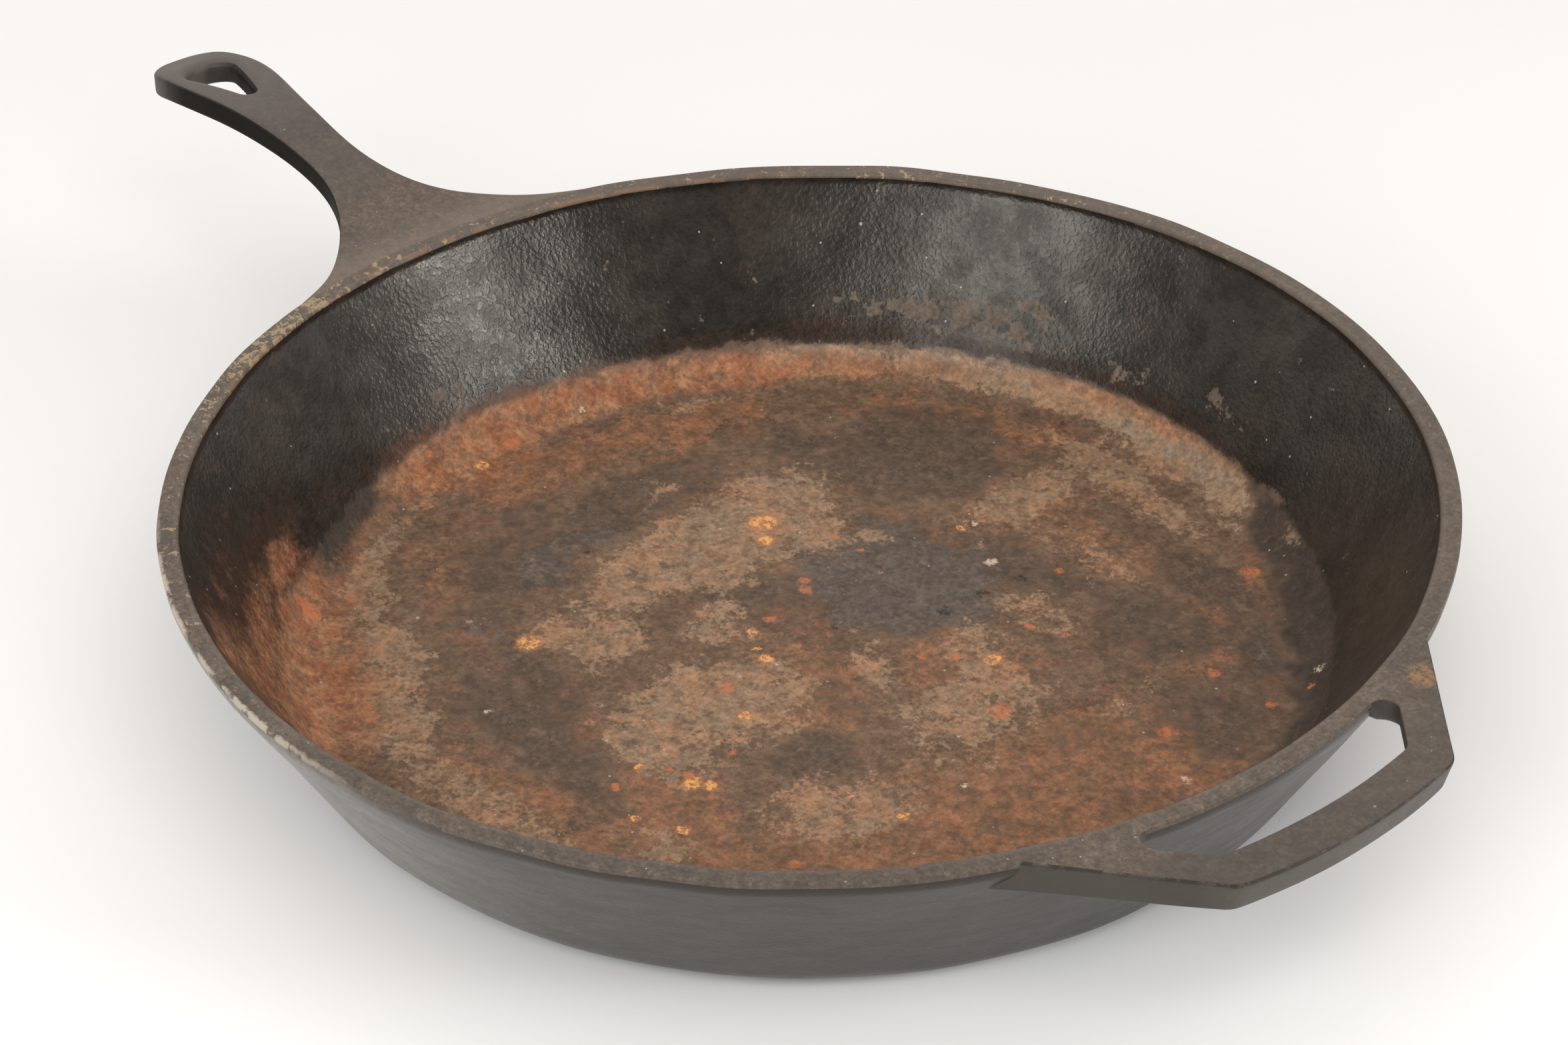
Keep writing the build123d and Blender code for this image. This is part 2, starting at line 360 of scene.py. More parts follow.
def lathe(name, node, section, full, looks, look_of, crease_heights):
    """Turns a closed or axis-to-axis section of (radius, height) into a closed mesh."""
    points, rings = [], []
    for radius, height in section:
        count = 1 if radius < ON_AXIS else ring_count(radius, full)
        turn = np.arange(count) * math.tau / count
        rings.append(list(range(len(points), len(points) + count)))
        points += [(radius * math.cos(a), radius * math.sin(a), height) for a in turn]
    on_axis = section[0][0] < ON_AXIS
    faces, creases = [], []
    pairs = list(zip(rings[:-1], rings[1:])) + ([] if on_axis else [(rings[-1], rings[0])])
    for a, b in pairs:
        if len(a) < len(b):
            a, b = b, a
        n, m = len(a), len(b)
        if n == m:
            faces += ring_faces(a, b)
        elif m == 1:
            faces += [(a[k], a[(k + 1) % n], b[0]) for k in range(n)]
        else:
            for k in range(m):
                left, middle, right = a[2 * k], a[2 * k + 1], a[(2 * k + 2) % n]
                near, far = b[k], b[(k + 1) % m]
                faces += [(left, middle, near), (middle, far, near), (middle, right, far)]
    for ring, (radius, height) in zip(rings, section):
        if any(abs(height - level) < SAME_LEVEL for level in crease_heights):
            creases.append(ring)
    return make_piece(name, node, np.array(points), faces, looks, look_of, creases, stain_maps)


def zone_section(low, high, step):
    """The outer and inner lines of the bowl between two heights."""
    return [split_long(cut_between(line, low, high), step) for line in (outer_line, inner_line)]


def bowl_pieces(interior, outside, edge):
    """The floor, the side wall and the rim, which share the rings where they meet."""
    for node, low, high, creases in (
        ("cooking_floor", 0, FLOOR_ZONE_TOP, [FLOOR_ZONE_TOP]),
        ("side_wall", FLOOR_ZONE_TOP, WALL_ZONE_TOP, [FLOOR_ZONE_TOP, WALL_ZONE_TOP]),
    ):
        section = np.concatenate(zone_section(low, high, STEP))
        lathe(f"{node}_casting", node, section, AROUND, [interior, outside], wall_look, creases)
    outer, inner = zone_section(WALL_ZONE_TOP, PAN_HEIGHT, RIM_STEP)
    section = np.concatenate([outer, inner[1:]])
    looks = [interior, outside, edge]
    lathe("rim_casting", "rim", section, RIM_AROUND, looks, rim_look, [WALL_ZONE_TOP])


def wall_look(centre, normal):
    """0 on faces that look into the bowl, 1 outside."""
    return 0 if normal.z > 0.3 else 1


def rim_look(centre, normal):
    """0 inside the bowl, 1 outside, 2 the rim's top with its rolled inner edge."""
    if centre.z > PAN_HEIGHT - INNER_EDGE_RADIUS:
        return 2
    inner_radius = RIM_INNER + (centre.z - LIP_FOOT) * WALL_LEAN
    return 0 if math.hypot(centre.x, centre.y) < inner_radius + 1 else 1


# ---- handles ---------------------------------------------------------------------------------
def edge_levels(edges, thickness):
    """(inset, drop) of each level of a rounded edge, from the top face round to the underside."""
    top, bottom = edges
    levels = [(top + CAP_INSET, 0.0)]
    for a in np.linspace(0, math.pi / 2, ARC_STEPS):
        levels.append((top * (1 - math.sin(a)), top * (1 - math.cos(a))))
    for share in np.linspace(0, 1, SIDE_STEPS + 2)[1:-1]:
        levels.append((0.0, top + share * (thickness - top - bottom)))
    for a in np.linspace(0, math.pi / 2, ARC_STEPS):
        levels.append((bottom * (1 - math.cos(a)), thickness - bottom * (1 - math.sin(a))))
    return levels + [(bottom + CAP_INSET, thickness)]


def cap(loops, holes):
    """Fills closed loops, less their holes, with even triangles. Returns the points added and the
    faces by index."""
    loop_points = np.concatenate(loops + holes)
    edges, start = [], 0
    for points in loops + holes:
        n = len(points)
        edges += [(start + k, start + (k + 1) % n) for k in range(n)]
        start += n
    low, high = loop_points.min(0), loop_points.max(0)
    rows = np.arange(low[1], high[1], CAP_STEP * math.sqrt(3) / 2)
    across = np.arange(low[0], high[0], CAP_STEP)
    grid = np.array([(x + (i % 2) * CAP_STEP / 2, y) for i, y in enumerate(rows) for x in across])
    keep = inside(grid, loops[0])
    for hole in holes:
        keep &= ~inside(grid, hole)
    grid = grid[keep]
    distance = np.min(np.linalg.norm(grid[:, None] - loop_points[None], axis=2), axis=1)
    grid = grid[distance > CAP_CLEARANCE]
    flat = [Vector(p) for p in np.concatenate([loop_points, grid])]
    made, _, triangles, origin, _, _ = delaunay_2d_cdt(flat, edges, [], 1, CAP_TOLERANCE)
    if len(made) != len(flat):
        raise RuntimeError("the outline of a cap crosses itself")
    index = [o[0] for o in origin]
    middles = np.array([sum((made[i] for i in t), Vector((0, 0))) / 3 for t in triangles])
    solid = inside(middles, loops[0])
    for hole in holes:
        solid &= ~inside(middles, hole)
    faces = [tuple(index[i] for i in t) for t, s in zip(triangles, solid) if s]
    return grid, faces


def trim(points, radius):
    """The end of a line that lies outside the bowl, starting on the bowl's surface."""
    far = np.linalg.norm(points, axis=1) - radius
    last = int(np.nonzero(far < 0)[0][-1]) if (far < 0).any() else -1
    if last < 0:
        return points
    share = far[last] / (far[last] - far[last + 1])
    start = points[last] + share * (points[last + 1] - points[last])
    return np.concatenate([[start], points[last + 1:]])


outer_wall = cut_between(outer_line, ABOVE_CORNER, PAN_HEIGHT)[:-1]


def bowl_radius(height):
    """The outside radius of the wall or the rim at a height."""
    return float(np.interp(height, outer_wall[:, 1], outer_wall[:, 0]))


# main handle, written with its length along +X and turned to -X at the end
flank = smooth_curve(FLANK, FLANK_START, (0, -1), 0.4)
root_end = (ROOT_END, FLANK[0][1])
root_corner = arc_corner(root_end, FLANK[0], flank[FLANK_AIM], ROOT_CORNER_RADIUS, 8)
corner_reach = float(np.linalg.norm(root_corner[-1] - flank[0]))
handle_side = np.concatenate([[root_end], root_corner, flank[lengths(flank) > corner_reach + 0.2]])
handle_side = spread(handle_side, HANDLE_FINE_COUNT)
handle_out = normals_of(handle_side)
handle_out[-1] = (1, 0)
climb = smooth_curve(CLIMB, (1, 0), (1, -END_SLOPE), 0.5)


def handle_height(x):
    """The height of the main handle's top face, at a distance from the pan's axis."""
    return PAN_HEIGHT + float(np.interp(abs(x), climb[:, 0], climb[:, 1]))


def eye_ring(grow):
    """The hanging eye's outline, grown outwards."""
    wide, narrow = EYE_RADIUS + grow, EYE_POINT_RADIUS + grow
    lean = math.acos((EYE_POINT_RADIUS - EYE_RADIUS) / (EYE_CENTRE - EYE_POINT_CENTRE))
    big = circle((EYE_CENTRE, 0), wide, np.linspace(-lean, lean, EYE_ROUND_COUNT))
    turn = np.linspace(lean, math.tau - lean, EYE_POINT_COUNT)
    small = circle((EYE_POINT_CENTRE, 0), narrow, turn)
    share = (np.arange(1, EYE_SIDE_COUNT) / EYE_SIDE_COUNT)[:, None]
    there = big[-1] + share * (small[0] - big[-1])
    back = small[-1] + share * (big[0] - small[-1])
    return np.concatenate([big, there, small, back])


def root_arc(start, end, drops, count):
    """Points on the bowl's surface between two points of it, without the ends."""
    a, b = math.atan2(start[1], start[0]), math.atan2(end[1], end[0])
    turn = np.linspace(a, b, count + 2)[1:-1]
    drop = np.linspace(drops[0], drops[1], count + 2)[1:-1]
    radius = np.array([bowl_radius(PAN_HEIGHT - d) for d in drop])
    return np.stack([radius * np.cos(turn), radius * np.sin(turn), drop], 1)


def with_drop(points, drop):
    """Flat points with how far they lie below the handle's top face."""
    return np.column_stack([points, np.full(len(points), drop)])


def stacked(name, node, levels, height_of, looks, roots):
    """A handle: closed rings of (x, y, drop), stacked level by level, with a cap above and below.
    Each level is its outline and then any hole. A root is the first and last point, on an outline,
    of the face by which the handle meets the bowl."""
    points, index = [], []
    for level in levels:
        row = []
        for ring in level:
            row.append(list(range(len(points), len(points) + len(ring))))
            points += [(x, y, height_of(x) - drop) for x, y, drop in ring]
        index.append(row)
    faces = []
    for above, below in zip(index[:-1], index[1:]):
        for a, b in zip(above, below):
            faces += ring_faces(a, b)
    for level in (0, -1):
        flat = [ring[:, :2] for ring in levels[level]]
        extra, triangles = cap(flat[:1], flat[1:])
        base = [i for ring in index[level] for i in ring]
        base += range(len(points), len(points) + len(extra))
        points += [(x, y, height_of(x) - levels[level][0][0, 2]) for x, y in extra]
        faces += [tuple(base[i] for i in t) for t in triangles]
    outline = [row[0] for row in index]
    creases = [run for first, last in roots for run in root_creases(outline, first, last)]
    return make_piece(name, node, np.array(points), faces, looks, None, creases)


def root_creases(outline, first, last):
    """Sharp edges round the face by which a handle meets the bowl."""
    n = len(outline[0])
    runs = [[ring[k % n] for k in range(first, last + 1)] for ring in (outline[0], outline[-1])]
    runs += [[ring[k % n] for ring in outline] for k in (first, last)]
    return [run + run[-2:0:-1] for run in runs]


def main_handle_piece(looks):
    """The main handle, from its flared root to its rounded end, with the hanging eye."""
    levels = []
    eye_levels = edge_levels(EYE_EDGES, THICKNESS)
    for (inset, drop), (grow, eye_drop) in zip(edge_levels(HANDLE_EDGES, THICKNESS), eye_levels):
        side = trim(handle_side - handle_out * inset, bowl_radius(PAN_HEIGHT - drop))
        side = spread(side, SIDE_COUNT)
        side[-1, 1] = 0.0
        back = side[-2::-1] * (1, -1)
        root = root_arc(back[-1], side[0], (drop, drop), ROOT_COUNT)[:, :2]
        outline = np.concatenate([side, back, root]) * (-1, 1)
        levels.append([with_drop(outline, drop), with_drop(eye_ring(grow) * (-1, 1), eye_drop)])
    first = 2 * SIDE_COUNT - 2
    roots = [(first, first + ROOT_COUNT + 1)]
    return stacked("main_handle_casting", "main_handle", levels, handle_height, looks, roots)


# ---- helper handle ---------------------------------------------------------------------------
def helper_side(fall):
    """The outer line of one half, from inside the bowl round to the middle of the bar."""
    corner = np.array(HELPER_CORNER) - np.array(HELPER_DRAFT) * fall
    join = np.array(HELPER_JOIN) - (0, HELPER_DRAFT[1] * fall)
    reach = HELPER_REACH - HELPER_DRAFT[0] * fall
    start = join + (join - corner) * EAR_OVERLAP
    return bowed_side(start, corner, reach, HELPER_CORNER_RADIUS)


def bowed_side(start, corner, reach, radius):
    """A straight line to a rounded corner, then a shallow bow to (reach, 0)."""
    bow_radius = ((reach - corner[0]) ** 2 + corner[1] ** 2) / (2 * (reach - corner[0]))
    turn = np.linspace(math.asin(corner[1] / bow_radius), 0, BOW_COUNT)
    bow = circle((reach - bow_radius, 0), bow_radius, turn)
    arc = arc_corner(start, corner, bow[BOW_AIM], radius, 12)
    tangent = float(np.linalg.norm(arc[-1] - corner))
    return np.concatenate([[start], arc, bow[np.linalg.norm(bow - corner, axis=1) > tangent + 0.3]])


def opening_side():
    """One half of the grip opening's outline, from the bowl's rim to the middle of the bar."""
    corner = np.array(OPENING_CORNER)
    run = np.array(HELPER_JOIN) - np.array(HELPER_CORNER)
    run = run / np.linalg.norm(run)
    inward = np.array([-run[1], run[0]])
    # the end arc touches the ear's inner line and the rim's circle
    start = corner + inward * OPENING_END_RADIUS
    along = run @ start
    reach = RIM_RADIUS + OPENING_END_RADIUS
    centre = start - run * (along + math.sqrt(along**2 - start @ start + reach**2))
    touch_line = centre - inward * OPENING_END_RADIUS
    touch_rim = centre * RIM_RADIUS / np.linalg.norm(centre)
    a = math.atan2(*(touch_rim - centre)[::-1])
    b = math.atan2(*(touch_line - centre)[::-1])
    while b > a:
        b -= math.tau
    arc = circle(centre, OPENING_END_RADIUS, np.linspace(a, b, OPENING_ARC_COUNT))
    bar = bowed_side(touch_line, corner, OPENING_REACH, OPENING_CORNER_RADIUS)
    return np.concatenate([arc, bar[1:]])


def helper_handle_piece(looks):
    """The helper handle: two ears and a bowed bar round an opening that is shut by the rim."""
    levels = []
    opening = spread(opening_side(), FINE_COUNT)
    opening_out = normals_of(opening)
    opening_out[-1] = (1, 0)
    opening_levels = edge_levels(OPENING_EDGES, HELPER_THICKNESS)
    ear_levels = edge_levels(HELPER_EDGES, HELPER_THICKNESS)
    for (inset, drop), (grow, hole_drop) in zip(ear_levels, opening_levels):
        side = spread(helper_side(drop / HELPER_THICKNESS), HELPER_FINE_COUNT)
        out = normals_of(side)
        out[-1] = (1, 0)
        side = spread(trim(side - out * inset, bowl_radius(PAN_HEIGHT - drop)), EAR_COUNT)
        side[-1, 1] = 0.0
        hole = trim(opening + opening_out * grow, RIM_RADIUS + OPENING_CLEARANCE)
        hole_radius = bowl_radius(PAN_HEIGHT - hole_drop)
        hole = np.concatenate([[hole[0] * hole_radius / np.linalg.norm(hole[0])], hole])
        hole = spread(hole, OPENING_COUNT)
        hole[-1, 1] = 0.0
        down, hole_down = side[-2::-1] * (1, -1), hole * (1, -1)
        levels.append([np.concatenate([
            with_drop(side, drop), with_drop(down, drop),
            root_arc(down[-1], hole_down[0], (drop, hole_drop), END_COUNT),
            with_drop(hole_down, hole_drop), with_drop(hole[-2::-1], hole_drop),
            root_arc(hole[0], side[0], (hole_drop, drop), END_COUNT),
        ])])
    first = 2 * EAR_COUNT - 2
    second = first + END_COUNT + 1 + 2 * OPENING_COUNT - 2
    roots = [(first, first + END_COUNT + 1), (second, second + END_COUNT + 1)]
    return stacked("helper_handle_casting", "helper_handle", levels, lambda x: PAN_HEIGHT, looks, roots)


# ---- stains of the cooking surface -----------------------------------------------------------
# Distance up the surface, the radius plus the height above the floor: where the floor's stains
# fade out, and where the wall's look starts and is full.
FLOOR_FADE_START, FLOOR_FADE_END = 114.0, 126.0
WALL_START, WALL_FULL = 124.0, 148.0
# Soft patches on the floor: (x, y, half length, half width, turn in degrees, strength).
TAN_PATCHES = [
    (-50, 12, 17, 32, 8, 1.0), (-48, 31, 22, 11, 0, 1.0), (-48, -16, 13, 20, 10, 0.85),
    (-38, -42, 17, 15, 0, 0.75), (-20, -14, 12, 12, 30, 0.6), (6, -34, 20, 19, 30, 0.9),
    (8, -54, 20, 12, 0, 0.75), (52, 12, 14, 24, 0, 0.75), (34, 26, 14, 10, -30, 0.7),
    (58, -40, 14, 22, -25, 0.65), (6, -64, 15, 3.5, 0, 0.8), (-11, 88, 9, 20, 0, 0.8),
    (0, 110, 44, 8, -4, 0.75), (30, 50, 15, 8, 0, 0.55), (-112, 46, 7, 17, -20, 0.8),
    (-62, -88, 20, 12, -20, 0.75), (-34, -104, 26, 10, -12, 0.75), (6, -104, 26, 8, 8, 0.7),
    (-88, -76, 14, 8, -45, 0.75), (40, -84, 14, 6, 30, 0.7), (-26, 40, 10, 4, 45, 0.6),
    (20, 78, 22, 8, 0, 0.45), (-78, 12, 4, 12, 0, 0.5), (-64, -60, 20, 9, -20, 0.2),
    (72, 44, 10, 12, 0, 0.4), (64, -4, 10, 12, 0, 0.5), (-12, 64, 10, 4, 20, 0.5),
    (20, 4, 14, 6, -30, 0.5),
]
BROWN_PATCHES = [
    (86, 0, 30, 52, 0, 1.0), (98, 40, 18, 30, 10, 0.8), (76, -56, 26, 26, -35, 1.0),
    (48, -84, 30, 16, 32, 1.0), (74, 66, 13, 12, 0, 0.6), (56, 92, 16, 11, -30, 0.7),
    (-106, 6, 11, 40, 0, 0.9), (-100, 44, 10, 22, -20, 0.8), (-86, -54, 18, 12, -30, 0.55),
    (16, 84, 30, 12, 0, 0.6), (-40, 108, 26, 10, 22, 0.8), (-64, 92, 16, 12, 30, 0.7),
    (12, -20, 25, 22, 0, 0.7), (0, -98, 40, 12, 8, 0.6), (30, -66, 22, 12, 0, 0.75),
    (-20, -100, 20, 12, 0, 0.5), (-11, 86, 12, 24, 0, 0.8), (36, 20, 20, 18, 0, 0.8),
    (-46, 26, 18, 14, 0, 0.6), (-92, 26, 10, 18, 0, 0.55),
]
DARK_PATCHES = [
    (-28, -1, 11, 11, 0, 1.0), (-6, 34, 28, 23, 12, 1.0), (40, -32, 11, 11, 30, 0.95),
    (-30, -62, 20, 7, -8, 0.7), (-46, 78, 24, 24, -15, 0.85), (-78, 4, 13, 40, 4, 0.7),
    (-74, -38, 18, 20, 0, 0.7), (-60, -58, 16, 12, 20, 0.55), (88, 88, 32, 18, -42, 0.8),
    (-14, -78, 34, 10, 0, 0.75), (-56, -76, 14, 6, 0, 0.5), (50, 70, 26, 14, -10, 0.7),
    (50, 94, 20, 10, -8, 0.8), (10, 62, 22, 9, 0, 0.7), (74, 18, 10, 14, 0, 0.4),
    (24, -12, 10, 8, 0, 0.4), (-62, 58, 22, 12, 20, 0.7), (80, 46, 16, 14, 0, 0.55),
    (-10, -46, 8, 6, 20, 0.45), (-38, -40, 10, 5, 30, 0.5), (-88, -22, 14, 16, 0, 0.5),
    (96, 60, 20, 18, 0, 0.75),
]
BLUE_PATCHES = [
    (-6, 34, 28, 22, 12, 1.0), (-64, -24, 16, 20, 0, 0.7), (92, 92, 30, 16, -42, 0.8),
    (-52, -66, 18, 9, 0, 0.5),
]
# Soft patches on the rounded corner and the wall: (degrees round, distance up the surface, half
# width in degrees, half height, strength).
RUST_RING = [
    (98, 137, 17, 3, 0.8), (128, 132, 8, 4, 0.6), (140, 130, 14, 6, 0.85), (154, 130, 16, 8, 1.0),
    (168, 131, 12, 10, 1.0), (182, 132, 12, 12, 1.0), (194, 132, 8, 12, 0.9), (186, 118, 8, 8, 0.6),
    (206, 128, 10, 5, 0.5), (228, 132, 9, 15, 1.0), (240, 134, 12, 14, 1.0), (250, 138, 9, 18, 1.0),
    (224, 150, 5, 8, 0.8), (240, 154, 12, 10, 0.75), (250, 164, 8, 12, 0.7), (251, 183, 8, 12, 0.55),
    (236, 180, 8, 12, 0.2), (240, 119, 12, 8, 0.9), (62, 117, 3, 3, 0.6),
]
TAN_RING = [
    (86, 130, 12, 9, 1.0), (108, 133, 16, 7, 1.0), (124, 134, 8, 6, 0.9), (138, 132, 9, 7, 1.0),
    (150, 129, 12, 5, 0.85), (176, 124, 20, 4, 0.6), (208, 121, 12, 4, 0.8), (222, 120, 9, 5, 0.75),
    (234, 116, 12, 4, 0.6), (122, 153, 14, 8, 0.66), (113, 160, 7, 6, 0.56), (76, 122, 6, 5, 0.6),
    (188, 152, 7, 7, 0.5), (84, 151, 3, 4, 0.62), (88, 156, 2, 3, 0.55), (100, 148, 5, 5, 0.5),
    (186, 142, 5, 3, 0.5), (66, 137, 4, 5, 0.5),
]
RED_RING = [
    (105, 143, 28, 4, 1.0), (135, 144, 16, 5, 0.9), (150, 143, 14, 4, 0.8), (198, 143, 14, 5, 0.7),
    (212, 150, 10, 10, 0.5), (226, 158, 12, 14, 0.9), (240, 160, 14, 16, 1.0),
]
DARK_RING = [
    (50, 134, 22, 15, 1.0), (66, 134, 10, 12, 0.95), (20, 136, 26, 14, 0.9), (-14, 136, 20, 12, 0.7),
    (208, 138, 9, 10, 0.9), (214, 134, 6, 8, 0.8), (74, 138, 5, 6, 0.7), (90, 125, 3, 3, 0.3),
]


def soft_floor(points, patches):
    """How far each point lies within the floor's soft patches: 1 well inside, 0 outside."""
    best = np.zeros(len(points))
    for x, y, half_x, half_y, turn, strength in patches:
        turn = math.radians(turn)
        dx, dy = points[:, 0] - x, points[:, 1] - y
        u = (dx * math.cos(turn) + dy * math.sin(turn)) / half_x
        v = (dy * math.cos(turn) - dx * math.sin(turn)) / half_y
        best = np.maximum(best, strength * np.clip(1.5 - np.hypot(u, v), 0, 1))
    return best


def soft_ring(points, patches):
    """The same for patches of the rounded corner and the wall."""
    round_it = np.degrees(np.arctan2(points[:, 1], points[:, 0])) % 360
    up = np.hypot(points[:, 0], points[:, 1]) + points[:, 2] - FLOOR_TOP
    best = np.zeros(len(points))
    for middle, level, half_round, half_up, strength in patches:
        u = ((round_it - middle + 180) % 360 - 180) / half_round
        best = np.maximum(best, strength * np.clip(1.5 - np.hypot(u, (up - level) / half_up), 0, 1))
    return best


def stain_maps(mesh, points):
    """Writes the stains of the cooking surface on a bowl mesh, for its material to read."""
    up = np.hypot(points[:, 0], points[:, 1]) + points[:, 2] - FLOOR_TOP
    on_floor = np.clip((FLOOR_FADE_END - up) / (FLOOR_FADE_END - FLOOR_FADE_START), 0, 1)
    columns = {
        "stain": [
            np.maximum(soft_floor(points, TAN_PATCHES) * on_floor, soft_ring(points, TAN_RING)),
            soft_ring(points, RUST_RING),
            soft_floor(points, DARK_PATCHES) * on_floor,
            soft_floor(points, BROWN_PATCHES) * on_floor,
        ],
        "tone": [
            soft_floor(points, BLUE_PATCHES) * on_floor,
            soft_ring(points, RED_RING),
            np.clip((up - WALL_START) / (WALL_FULL - WALL_START), 0, 1),
            soft_ring(points, DARK_RING),
        ],
    }
    for name, channels in columns.items():
        layer = mesh.color_attributes.new(name=name, type="FLOAT_COLOR", domain="POINT")
        layer.data.foreach_set("color", np.stack(channels, 1).astype(np.float32).ravel())


# ---- node materials --------------------------------------------------------------------------
class Graph:
    """Builds one node material. Places are in millimetres, in the frame's axes."""

    def __init__(self, name):
        self.material = bpy.data.materials.new(name)
        self.material.use_nodes = True
        self.tree = self.material.node_tree
        self.tree.nodes.clear()
        object_place = self.node("ShaderNodeTexCoord").outputs["Object"]
        self.place = self.scale(object_place, 1 / MM)
        self.x, self.y, self.z = self.split(self.place)
        squares = self.add(self.times(self.x, self.x), self.times(self.y, self.y))
        self.radius = self.math("SQRT", squares)
        self.colour = None

    def node(self, kind, inputs=(), **settings):
        made = self.tree.nodes.new(kind)
        for key, value in settings.items():
            setattr(made, key, value)
        for key, value in dict(inputs).items():
            if isinstance(value, bpy.types.NodeSocket):
                self.tree.links.new(value, made.inputs[key])
            else:
                made.inputs[key].default_value = value
        return made

    def math(self, operation, a, b=0.0):
        return self.node("ShaderNodeMath", {0: a, 1: b}, operation=operation).outputs[0]

    def add(self, a, b):
        return self.math("ADD", a, b)

    def less(self, a, b):
        return self.math("SUBTRACT", a, b)

    def most(self, a, b):
        return self.math("MAXIMUM", a, b)

    def times(self, *factors):
        total = factors[0]
        for factor in factors[1:]:
            total = self.math("MULTIPLY", total, factor)
        return total

    def vector_math(self, operation, inputs):
        return self.node("ShaderNodeVectorMath", inputs, operation=operation).outputs

    def distance(self, a, b):
        return self.vector_math("DISTANCE", {0: a, 1: b})["Value"]

    def swing(self, noise, reach):
        """A noise moved to lie round 0, within half of reach."""
        return self.times(self.less(noise, 0.5), reach)

    def scale(self, vector, factor):
        return self.vector_math("SCALE", {0: vector, 3: factor})[0]

    def shift(self, a, b):
        return self.vector_math("ADD", {0: a, 1: b})[0]

    def stretch(self, vector, factors):
        return self.vector_math("MULTIPLY", {0: vector, 1: factors})[0]

    def split(self, vector):
        return tuple(self.node("ShaderNodeSeparateXYZ", {0: vector}).outputs)

    def join(self, x, y, z):
        return self.node("ShaderNodeCombineXYZ", {0: x, 1: y, 2: z}).outputs[0]

    def where(self, place, moved):
        """Where a pattern is drawn: at the given place, or else the surface's own, moved."""
        return self.shift(self.place, moved) if moved else place or self.place

    def noise(self, size, detail=4.0, rough=0.6, place=None, moved=None, colour=False):
        made = self.node("ShaderNodeTexNoise", {
            "Vector": self.where(place, moved), "Scale": 1 / size,
            "Detail": detail, "Roughness": rough,
        })
        return made.outputs["Color" if colour else 0]

    def step(self, value, low, high, start=0.0, end=1.0):
        inputs = {0: value, 1: low, 2: high, 3: start, 4: end}
        return self.node("ShaderNodeMapRange", inputs, interpolation_type="SMOOTHSTEP").outputs[0]

    def mix(self, share, a, b):
        a, b = ((*c, 1.0) if isinstance(c, tuple) else c for c in (a, b))
        return self.node("ShaderNodeMix", {0: share, 6: a, 7: b}, data_type="RGBA").outputs[2]

    def wobble(self, size, reach):
        """The place, moved by noise, so that whatever is drawn there has a ragged edge."""
        push = self.shift(self.noise(size, 5.0, 0.65, colour=True), (-0.5, -0.5, -0.5))
        return self.shift(self.place, self.scale(push, 2 * reach))

    def channels(self, name):
        made = self.node("ShaderNodeAttribute", attribute_name=name, attribute_type="GEOMETRY")
        colour = self.node("ShaderNodeSeparateColor", {0: made.outputs["Color"]}).outputs
        return colour[0], colour[1], colour[2], made.outputs["Alpha"]

    def flecks(self, size, radius, share, place=None, moved=None):
        """Small dots: one in every cell of size, of which a share is kept."""
        cells = self.node("ShaderNodeTexVoronoi", {
            "Vector": self.where(place, moved), "Scale": 1 / size, "Randomness": 1.0,
        })
        near = self.step(cells.outputs["Distance"], radius / size * 1.2, radius / size * 0.6)
        chosen = self.split(cells.outputs["Color"])[0]
        return self.times(near, self.step(chosen, share, share - 0.02))

    def paint(self, share, colour):
        """Lays a colour over what is there already."""
        self.colour = self.mix(share, self.colour, colour)

    def grit(self, amount, size=1.5):
        """Darkens and lightens the colour with fine grain."""
        fine = self.step(self.noise(size, 3, 0.7), 0.3, 0.7, 1 - amount, 1 + amount)
        amount *= 0.7
        coarse = self.step(self.noise(size * 2.6, 3, 0.65), 0.3, 0.7, 1 - amount, 1 + amount)
        self.colour = self.scale(self.scale(self.colour, fine), coarse)

    def spots(self, place, spots, soft=0.3):
        """Round marks at given spots: (x, y, radius)."""
        total = None
        flat = self.stretch(place, (1.0, 1.0, 0.0))
        for x, y, radius in spots:
            one = self.step(self.distance(flat, (x, y, 0)), radius * (1 + soft), radius * (1 - soft))
            total = one if total is None else self.most(total, one)
        return total

    def finish(self, rough, height, depth, shine=0.5):
        """Closes the material: roughness, relief of a depth in millimetres, strength of the shine."""
        relief = self.node("ShaderNodeBump", {
            "Height": height, "Distance": depth * MM, "Strength": 1.0,
        })
        surface = self.node("ShaderNodeBsdfPrincipled", {
            "Base Color": self.colour, "Roughness": rough, "Normal": relief.outputs[0],
            "Specular IOR Level": shine, "Specular Tint": SHINE_TINT,
        })
        output = self.node("ShaderNodeOutputMaterial")
        self.tree.links.new(surface.outputs[0], output.inputs[0])
        return self.material


